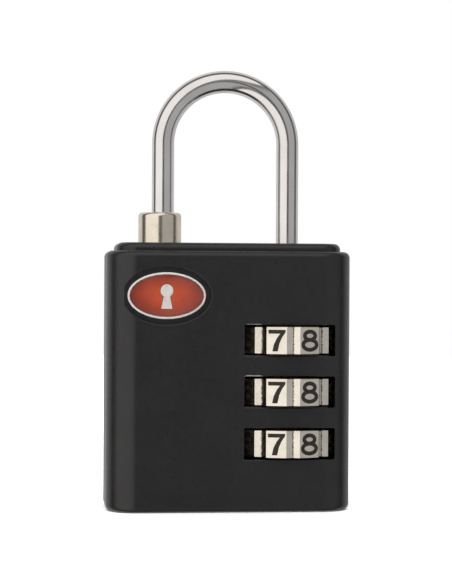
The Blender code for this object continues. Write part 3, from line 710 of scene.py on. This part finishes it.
def shackle():
    """The bow as one swept wire, with the fins of the long leg."""
    tip, steps, sides = 0.45 * MM, 72, 40
    fin_reach, fin_half, fin_height, fin_gap = 2.4 * MM, 0.6 * MM, 1.6 * MM, 0.45 * MM
    path = [(LEG_X, LEG_END + rise, 0.0, WIRE - inset) for inset, rise in fillet(tip, 4)]
    for i in range(steps + 1):
        angle = math.pi * i / steps
        across, up = ARCH_RADIUS * math.cos(angle), ARCH_RADIUS * math.sin(angle)
        path.append((ARCH_X + across, ARCH_Z + up, angle, WIRE))
    toe = [(TOE_X, TOE_END + rise, math.pi, WIRE - inset) for inset, rise in fillet(tip, 4)]
    path += reversed(toe)
    rings = []
    for x, z, angle, radius in path:
        outward = Vector((math.cos(angle), 0, math.sin(angle)))
        ring = []
        for k in range(sides):
            t = math.tau * k / sides
            sideways = Vector((0, radius * math.sin(t), 0))
            ring.append(Vector((x, LOCK_Y, z)) + outward * (radius * math.cos(t)) + sideways)
        rings.append(ring)
    obj = loft("shackle_bow", rings)
    fins = []
    for wheel in WHEELS:
        low = span("sleeve_" + wheel, 2)[0] - fin_gap - fin_height
        corner = (LEG_X - fin_reach, LOCK_Y - fin_half, low)
        fins.append(box_shape("fin", corner, (LEG_X, LOCK_Y + fin_half, low + fin_height)))
    carve(obj, "UNION", fins)
    finish_piece(obj, "shackle", MATERIALS["shackle_chrome"], ["shackle"])


def collar():
    """A turned sleeve with a rounded rim, a softened bore and a flange under the cap."""
    outer, bore, flange, screw_bore = 2.9 * MM, 2.0 * MM, 3.4 * MM, 0.8 * MM
    flange_top, screw_seat = 30.6 * MM, 31.0 * MM
    rim = [(outer - inset, COLLAR_TOP - rise) for inset, rise in fillet(0.5 * MM, 8)]
    inner_rim = [(bore + inset, COLLAR_TOP - rise) for inset, rise in fillet(0.25 * MM, 5)]
    profile = rim + [
        (outer, flange_top),
        (flange, flange_top),
        (flange, COLLAR_BASE),
        (screw_bore, COLLAR_BASE),
        (screw_bore, screw_seat),
        (bore, screw_seat),
    ]
    profile += reversed(inner_rim)
    obj = revolve("shackle_collar_fine", profile, (COLLAR_X, LOCK_Y, 0), 96)
    finish_piece(obj, ROOT, MATERIALS["collar_nickel"], ["shackle_collar"])


# ---- number wheels ----


def flat_angle(i):
    """The way that a flat faces: the first is half a step to the right of the front."""
    return -math.pi / 2 + math.tau * (i + 0.5) / NUMBERS


def wheel_outline():
    """Ten flats with a V groove between each pair; a groove faces the front."""
    points = []
    for i in range(NUMBERS):
        centre = flat_angle(i)
        for radius, offset in (
            (WHEEL_RADIUS, -FLAT_HALF_ANGLE),
            (WHEEL_RADIUS, FLAT_HALF_ANGLE),
            (WHEEL_GROOVE, math.pi / NUMBERS),
        ):
            points.append((radius * math.cos(centre + offset), radius * math.sin(centre + offset)))
    return points


STROKE = 0.53 * MM
CELL_X = 1.0 * MM
CELL_Y = 1.21 * MM
SEVEN = [
    (1.17, 1.44), (1.16, 1.12), (0.68, 0.42), (0.33, -0.40), (0.10, -1.44), (-0.62, -1.44),
    (-0.42, -0.50), (-0.02, 0.32), (0.42, 0.92), (-1.15, 0.92), (-1.17, 1.44),
]


def round_stroke(width, height, start, turn, steps, middle_y, middle_x=0.0):
    """An open round stroke, from an angle through a turn, both in degrees."""
    centre = (middle_x, middle_y)
    return arc(width, height, math.radians(start), math.radians(turn), steps, centre)


def round_loop(width, height, sides, middle_y=0.0):
    """A closed round stroke."""
    return arc(width, height, 0, math.tau * (sides - 1) / sides, sides - 1, (0, middle_y))


def number_strokes(digit):
    """The centre lines of a plain bold number in a cell about the origin, as (points, closed)."""
    x, y = CELL_X, CELL_Y
    if digit == 0:
        return [(round_loop(x * 0.92, y, 32), True)]
    if digit == 1:
        flag = [(-0.42 * MM, y - 0.52 * MM), (0.0, y - 0.38 * MM), (0.22 * MM, y - 0.1 * MM)]
        return [([(0.22 * MM, -y), (0.22 * MM, y)], False), (flag, False)]
    if digit == 2:
        neck = round_stroke(x * 0.92, 0.66 * MM, 165, -200, 18, y - 0.66 * MM)
        neck += [(-x * 0.7, -y + 0.25 * MM), (-x * 0.88, -y)]
        return [(neck, False), ([(-x, -y), (x, -y)], False)]
    if digit == 3:
        upper = round_stroke(0.72 * MM, 0.54 * MM, 160, -250, 18, y - 0.54 * MM)
        lower = round_stroke(x * 0.92, 0.6 * MM, 90, -252, 20, -y + 0.6 * MM)
        return [(upper, False), (lower, False)]
    if digit == 4:
        bar = -0.5 * MM
        stem, slope = [(0.42 * MM, -y), (0.42 * MM, y)], [(0.3 * MM, y), (-x, bar + 0.02 * MM)]
        return [(stem, False), (slope, False), ([(-x, bar), (x, bar)], False)]
    if digit == 5:
        top, side = [(x * 0.85, y), (-0.55 * MM, y)], [(-0.56 * MM, y), (-0.68 * MM, 0.12 * MM)]
        bowl = round_stroke(x * 0.92, 0.7 * MM, 128, -285, 22, -y + 0.7 * MM, -0.02 * MM)
        return [(top, False), (side, False), (bowl, False)]
    if digit in (6, 9):
        bowl = round_loop(x * 0.9, 0.66 * MM, 28, -y + 0.66 * MM)
        back = round_stroke(x * 0.92, y, 42, 160, 18, 0.0)
        strokes = [(bowl, True), (back, False)]
        if digit == 6:
            return strokes
        return [([(-px, -py) for px, py in points], closed) for points, closed in strokes]
    upper = round_loop(0.78 * MM, 0.55 * MM, 24, y - 0.55 * MM)
    return [(upper, True), (round_loop(x, 0.66 * MM, 28, -y + 0.66 * MM), True)]


def ribbon(name, points, closed, width, low, high):
    """A flat stroke of constant width along a line, from height low to high, with square ends."""
    longest_mitre = 2
    line = [Vector(point) for point in points]
    if not closed:
        line[0] += (line[0] - line[1]).normalized() * width / 2
        line[-1] += (line[-1] - line[-2]).normalized() * width / 2
    count = len(line)
    left, right = [], []
    for i, here in enumerate(line):
        before = line[i - 1] if closed or i else None
        after = line[(i + 1) % count] if closed or i < count - 1 else None
        ways = [(here - before).normalized()] if before is not None else []
        if after is not None:
            ways.append((after - here).normalized())
        along = sum(ways, Vector((0, 0))).normalized()
        side = Vector((-along.y, along.x))
        stretch = min(longest_mitre, 1 / along.dot(ways[0]))
        left.append(here + side * (width / 2 * stretch))
        right.append(here - side * (width / 2 * stretch))
    bm = bmesh.new()
    rows = [
        [bm.verts.new((p.x, p.y, z)) for p in side]
        for side, z in ((left, low), (right, low), (right, high), (left, high))
    ]
    last = count if closed else count - 1
    for i in range(last):
        j = (i + 1) % count
        for first, second in zip(rows, rows[1:] + rows[:1]):
            bm.faces.new((first[i], first[j], second[j], second[i]))
    if not closed:
        bm.faces.new([row[0] for row in rows])
        bm.faces.new([row[-1] for row in reversed(rows)])
    bmesh.ops.recalc_face_normals(bm, faces=bm.faces)
    return add_object(name, bm)


def number_mesh(digit):
    """One number as a thin slab that stands a hair proud of its flat. The 7 is drawn as an outline
    and the others as strokes, each a little thicker than the one before, so no faces coincide."""
    inside, proud, deeper, higher = -0.05 * MM, 0.012 * MM, 0.001 * MM, 0.0004 * MM
    if digit == 7:
        outline = [(x * MM, y * MM) for x, y in SEVEN]
        shapes = [loft("outline_7", [at_height(outline, z) for z in (inside, proud)])]
    else:
        shapes = []
        for i, (points, closed) in enumerate(number_strokes(digit)):
            low, high = inside - i * deeper, proud + i * higher
            shapes.append(ribbon(f"stroke_{digit}_{i}", points, closed, STROKE, low, high))
    first = shapes[0]
    if len(shapes) > 1:
        carve(first, "UNION", shapes[1:])
    mesh = first.data.copy()
    bpy.data.objects.remove(first, do_unlink=True)
    return mesh


def number_wheels():
    """The three wheels, each with a ring of dark numbers in a mesh of its own."""
    outline = soften(wheel_outline(), 0.07 * MM)
    rim, through, sharp = 0.16 * MM, 5 * MM, 25
    numbers = [number_mesh(digit) for digit in range(NUMBERS)]
    for wheel in WHEELS:
        centre_z, node = WHEEL_Z[wheel], "dial_" + wheel
        rings = []
        for inset, rise in fillet(rim, 4):
            shrink = 1 - inset / WHEEL_RADIUS
            rings.append((rise - WHEEL_HALF, [(x * shrink, y * shrink) for x, y in outline]))
        rings += [(-z, points) for z, points in reversed(rings)]
        obj = loft(
            node + "_fine",
            [[(LEG_X + x, LOCK_Y + y, centre_z + z) for x, y in points] for z, points in rings],
        )
        low, high = centre_z - through, centre_z + through
        carve(obj, "DIFFERENCE", [cylinder("bore", WHEEL_BORE, low, high, LEG_X, LOCK_Y)])
        finish_piece(obj, node, MATERIALS["wheel_nickel"], [node], sharp)
        bm = bmesh.new()
        for i in range(NUMBERS):
            angle = flat_angle(i)
            out = Vector((math.cos(angle), math.sin(angle), 0))
            across = Vector((-math.sin(angle), math.cos(angle), 0))
            place = Matrix.Identity(4)
            for column, way in enumerate((across, Vector((0, 0, 1)), out)):
                place.col[column].xyz = way
            place.translation = Vector((LEG_X, LOCK_Y, centre_z)) + out * APOTHEM
            mesh = numbers[(FIRST_NUMBER + i) % NUMBERS].copy()
            mesh.transform(place)
            bm.from_mesh(mesh)
        figures = add_object(node + "_numbers", bm)
        finish_piece(figures, node, NUMBER_PAINT)


# ---- key cylinder ----


def key_plug():
    """The turned plug: a rounded face with a groove, a flange, the keyway, a slot for each wafer
    and a screw hole."""
    low, high = span("key_plug", 2)
    radius, flange, flange_low, flange_high = 2.95 * MM, 3.5 * MM, 1.45 * MM, 2.2 * MM
    keyway_half_width, keyway_half_length, keyway_top = 0.5 * MM, 2.2 * MM, 8.4 * MM
    slot_half_width, slot_margin, far = 1.7 * MM, 0.1 * MM, 5 * MM
    screw_radius, screw_above = 0.65 * MM, 0.4 * MM
    groove_z = low + 0.07 * MM
    groove = [(2.4 * MM, low), (2.46 * MM, groove_z), (2.56 * MM, groove_z), (2.62 * MM, low)]
    face = [(radius - inset, low + rise) for inset, rise in fillet(0.2 * MM, 5)]
    profile = [(0, low)] + groove + face
    profile += [(radius, flange_low), (flange, flange_low), (flange, flange_high)]
    profile += [(radius, flange_high), (radius, high), (0, high)]
    obj = revolve("key_plug_fine", profile, (KEY_X, KEY_Y, 0), 72, True)
    cutters = [
        box_shape(
            "keyway",
            (KEY_X - keyway_half_width, KEY_Y - keyway_half_length, -MM),
            (KEY_X + keyway_half_width, KEY_Y + keyway_half_length, keyway_top),
        ),
        cylinder(
            "screw_hole", screw_radius, keyway_top + screw_above, high + MM, KEY_X, KEY_Y, 32
        ),
    ]
    for i in range(1, 5):
        bottom, top = span(f"wafer_{i}", 2)
        cutters.append(
            box_shape(
                "slot",
                (KEY_X - slot_half_width, KEY_Y - far, bottom - slot_margin),
                (KEY_X + slot_half_width, KEY_Y + far, top + slot_margin),
            )
        )
    carve(obj, "DIFFERENCE", cutters)
    finish_piece(obj, "key_plug", MATERIALS["inner_brass"], ["key_plug"])


# ---- springs ----


def coil(name, centre, along, length, radius, wire, turns):
    """A coil spring of this length that starts at centre and runs along X or Z, with half a turn
    laid flat at each end. Its wire is given by its radius."""
    steps_per_turn, sides = 28, 10
    steps = turns * steps_per_turn
    path = []
    for i in range(steps + 1):
        angle = math.tau * i / steps_per_turn
        share = min(1.0, max(0.0, (i / steps_per_turn - 0.5) / (turns - 1)))
        run = wire + (length - 2 * wire) * share
        across, up = radius * math.cos(angle), radius * math.sin(angle)
        offset = (across, up, run) if along == "Z" else (run, across, up)
        path.append(Vector(centre) + Vector(offset))
    axis = Vector((0, 0, 1)) if along == "Z" else Vector((1, 0, 0))
    rings = []
    for i, point in enumerate(path):
        forward = (path[min(i + 1, steps)] - path[max(i - 1, 0)]).normalized()
        side = forward.cross(axis).normalized()
        up = side.cross(forward)
        circle = []
        for k in range(sides):
            angle = math.tau * k / sides
            circle.append(point + side * (wire * math.cos(angle)) + up * (wire * math.sin(angle)))
        rings.append(circle)
    return loft(name, rings)


def springs():
    """The shackle spring stretches with the lift; the release spring is pressed by the plate."""
    steel, wire = MATERIALS["spring_steel"], 0.2 * MM
    lift_radius, lift_turns = 1.15 * MM, 4
    back_radius, back_turns = 1.2 * MM, 6
    low, high = span("shackle_spring", 2)
    foot, head = (LEG_X, LOCK_Y, low), (LEG_X, LOCK_Y, high)
    lift = coil("shackle_spring_fine", foot, "Z", high - low, lift_radius, wire, lift_turns)
    finish_piece(lift, None, steel, ["shackle_spring"])
    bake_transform(lift)
    left, right = span("release_spring", 0)
    start = (left, middle("release_spring", 1), middle("release_spring", 2))
    back = coil("release_spring_fine", start, "X", right - left, back_radius, wire, back_turns)
    finish_piece(back, ROOT, steel, ["release_spring"])
    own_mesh(back)


# ---- badge ----


def keyhole_outline(grow=0.0):
    """A round eye over a tapering stem, wider all round by grow."""
    eye, stem, foot = 0.85 * MM + grow, 0.42 * MM + grow, 0.75 * MM + grow
    eye_z, low = 0.65 * MM, -1.75 * MM - grow
    angle = math.asin(stem / eye)
    eye_arc = arc(eye, eye, -math.pi / 2 + angle, math.tau - 2 * angle, 40, (0, eye_z))
    return eye_arc + [(-foot, low), (foot, low)]


def badge():
    """A metal oval with a raised rim and keyhole mark, and a domed enamel field between them."""
    rim_width, rim_edge, floor_y = 0.3 * MM, 0.16 * MM, BADGE_BACK - 0.25 * MM
    edge_depth, dome_rise, gap, sharp = 0.14 * MM, 0.12 * MM, 0.03 * MM, 30
    rings = [at_depth(oval(BADGE_WIDTH, BADGE_HEIGHT), BADGE_BACK, BADGE_X, BADGE_Z)]
    for inset, rise in reversed(fillet(rim_edge, 5)):
        outline = oval(BADGE_WIDTH - 2 * inset, BADGE_HEIGHT - 2 * inset)
        rings.append(at_depth(outline, BADGE_FRONT + rise, BADGE_X, BADGE_Z))
    plate = loft("badge_plate_fine", rings)
    inner = (BADGE_WIDTH - 2 * rim_width, BADGE_HEIGHT - 2 * rim_width)
    field = [
        at_depth(oval(inner[0] + grow, inner[1] + grow), y, BADGE_X, BADGE_Z)
        for y, grow in ((floor_y, 0), (BADGE_FRONT + 0.1 * MM, 0), (BADGE_FRONT - MM, 1.0 * MM))
    ]
    carve(plate, "DIFFERENCE", [loft("badge_field", field)])
    mark = [
        at_depth(keyhole_outline(-inset), y, BADGE_X, BADGE_Z)
        for y, inset in (
            (floor_y + 0.1 * MM, 0.0),
            (BADGE_FRONT + 0.05 * MM, 0.0),
            (BADGE_FRONT + 0.01 * MM, 0.05 * MM),
        )
    ]
    carve(plate, "UNION", [loft("badge_mark", mark)])
    finish_piece(plate, ROOT, MATERIALS["badge_metal"], ["badge_plate"], sharp)
    width, height = inner[0] - 2 * gap, inner[1] - 2 * gap
    dome = [at_depth(oval(width, height), floor_y - gap, BADGE_X, BADGE_Z)]
    for share in (1.0, 0.97, 0.9, 0.78, 0.6, 0.4, 0.2):
        y = BADGE_FRONT + edge_depth - dome_rise * (1 - share**3)
        dome.append(at_depth(oval(width * share, height * share), y, BADGE_X, BADGE_Z))
    glass = loft("badge_enamel_fine", dome)
    hole = [
        at_depth(keyhole_outline(gap), y, BADGE_X, BADGE_Z) for y in (BADGE_BACK, BADGE_FRONT - MM)
    ]
    carve(glass, "DIFFERENCE", [loft("mark_hole", hole)])
    finish_piece(glass, ROOT, MATERIALS["badge_enamel"], ["badge_enamel"])


case_half("front_case_fine", "front_case", True)
case_half("back_case_fine", "back_case", False)
rivets()
top_cap()
shackle()
collar()
number_wheels()
key_plug()
springs()
badge()


# ---- stage, lights and camera ----

EYE_HEIGHT = 29.32 * MM
CAMERA_AZIMUTH = math.radians(-6.2)
CAMERA_DISTANCE = 250.4 * MM
CAMERA_ROLL = math.radians(0.3)
FOCAL_LENGTH = 112.9

WARM_BOX = (0.96, 0.925, 0.89)
DIM_BOX = (0.345, 0.34, 0.34)
BACK_LEFT = (0.62, 0.60, 0.59)
BACK_RIGHT = (0.50, 0.49, 0.49)
GAP = (0.112, 0.110, 0.112)
# how the seam between the boxes leans over the object, and upright below it
SEAM_RISE = 0.78
SEAM_LEAN_BELOW = 0.02
# angles from each direction, in degrees: where the light starts, and where it is full
SEAM_GAP = (88, 85)
FRONT_BOXES = (84, 77)
BACK_ROOM = (78, 68)
LENS_SIDE = 5
LENS_GAP = (7.5, 12.5)
BEHIND_GAP = (9, 13)


def towards(azimuth):
    """A level direction from the object, in degrees to the right of the camera."""
    angle = CAMERA_AZIMUTH + math.radians(azimuth)
    return Vector((math.sin(angle), -math.cos(angle), 0))


def studio(graph):
    """What polished metal sees: a warm softbox on the left and over the top, a dimmer one on the
    right, dark gaps where they meet and where they end, and a pale room behind the object."""
    way = graph.add("ShaderNodeTexCoord").outputs["Generated"]

    def along(axis):
        node = graph.add("ShaderNodeVectorMath", operation="DOT_PRODUCT")
        node.inputs[1].default_value = axis
        graph.link(way, node.inputs[0])
        return node.outputs["Value"]

    def fade(value, angles, sign=1):
        start, end = (sign * math.cos(math.radians(degrees)) for degrees in angles)
        return graph.ranged(value, 0.0, 1.0, start, end)

    def lit(colour, *masks):
        scale = masks[0]
        for mask in masks[1:]:
            scale = graph.maths("MULTIPLY", scale, mask)
        node = graph.add("ShaderNodeVectorMath", operation="SCALE")
        graph.link(colour, node.inputs[0])
        graph.link(scale, node.inputs["Scale"])
        return node.outputs["Vector"]

    def total(first, second):
        node = graph.add("ShaderNodeVectorMath", operation="ADD")
        graph.link(first, node.inputs[0])
        if isinstance(second, tuple):
            node.inputs[1].default_value = second
        else:
            graph.link(second, node.inputs[1])
        return node.outputs["Vector"]

    # over the object the warm box reaches across to the right, below it the two meet upright
    leaning = along(Vector((0, 0, SEAM_RISE)))
    upright = along(Vector((0, 0, SEAM_LEAN_BELOW)))
    side = graph.maths("SUBTRACT", along(towards(90)), graph.maths("MAXIMUM", leaning, upright))
    front = along(towards(0))
    share = graph.ranged(side, 0.0, 1.0, -0.02, 0.02)
    seam = fade(graph.maths("ABSOLUTE", side), SEAM_GAP)
    lens = fade(along(towards(LENS_SIDE)), LENS_GAP)
    boxes = lit(graph.ramp(share, WARM_BOX, DIM_BOX), fade(front, FRONT_BOXES), seam, lens)
    behind = fade(front, BEHIND_GAP, -1)
    room = lit(graph.ramp(share, BACK_LEFT, BACK_RIGHT), fade(front, BACK_ROOM, -1), behind)
    return total(total(boxes, room), GAP)


def surroundings():
    """The studio for reflections and shading, and plain white behind the object for the camera."""
    world = bpy.data.worlds.new("studio")
    bpy.context.scene.world = world
    world.use_nodes = True
    graph = Graph(world.node_tree)
    seen = graph.add("ShaderNodeMix", data_type="RGBA")
    colours = [socket for socket in seen.inputs if socket.type == "RGBA"]
    graph.link(graph.add("ShaderNodeLightPath").outputs["Is Camera Ray"], seen.inputs["Factor"])
    graph.link(studio(graph), colours[0])
    colours[1].default_value = (1, 1, 1, 1)
    result = [socket for socket in seen.outputs if socket.type == "RGBA"][0]
    graph.link(result, graph.tree.nodes["Background"].inputs["Color"])


def overhead_light():
    """A wide soft light from above, for the painted faces and the floor."""
    size, radiance, place, tilt = 1.8, 2.3, (0, -0.25, 0.8), -15
    light = bpy.data.lights.new("overhead", "AREA")
    light.shape = "SQUARE"
    light.size = size
    light.energy = radiance * math.pi * size * size
    obj = bpy.data.objects.new("overhead", light)
    bpy.context.scene.collection.objects.link(obj)
    obj.location = place
    obj.rotation_euler = (math.radians(tilt), 0, 0)
    obj.visible_camera = False
    obj.visible_glossy = False


def floor():
    """A pale matt disc just under the lock."""
    radius, drop = 0.6, 0.02 * MM
    bm = bmesh.new()
    bmesh.ops.create_circle(bm, cap_ends=True, segments=128, radius=radius)
    obj = add_object("floor", bm)
    obj.location.z = -drop
    obj.visible_glossy = False
    made = Shader("pale_floor", specular=0.2)
    made.colours(made.noise(0.2, 2), (0.88, 0.88, 0.88), (0.90, 0.90, 0.90))
    made.roughness(made.noise(0.05, 2), 0.8, 0.9)
    obj.data.materials.append(made.material)


def camera():
    """Level with the middle of the lock and a little to the left of its front."""
    data = bpy.data.cameras.new("camera")
    data.lens = FOCAL_LENGTH
    data.clip_start = 0.01
    data.clip_end = 20
    obj = bpy.data.objects.new("camera", data)
    bpy.context.scene.collection.objects.link(obj)
    aim = Vector((0, 0, EYE_HEIGHT))
    obj.location = aim + towards(0) * CAMERA_DISTANCE
    turn = (aim - obj.location).to_track_quat("-Z", "Y").to_matrix().to_4x4()
    roll = Matrix.Rotation(CAMERA_ROLL, 4, "Z")
    obj.rotation_euler = (turn @ roll).to_euler()
    bpy.context.scene.camera = obj


floor()
overhead_light()
surroundings()
camera()
bpy.context.scene.view_settings.view_transform = "Standard"
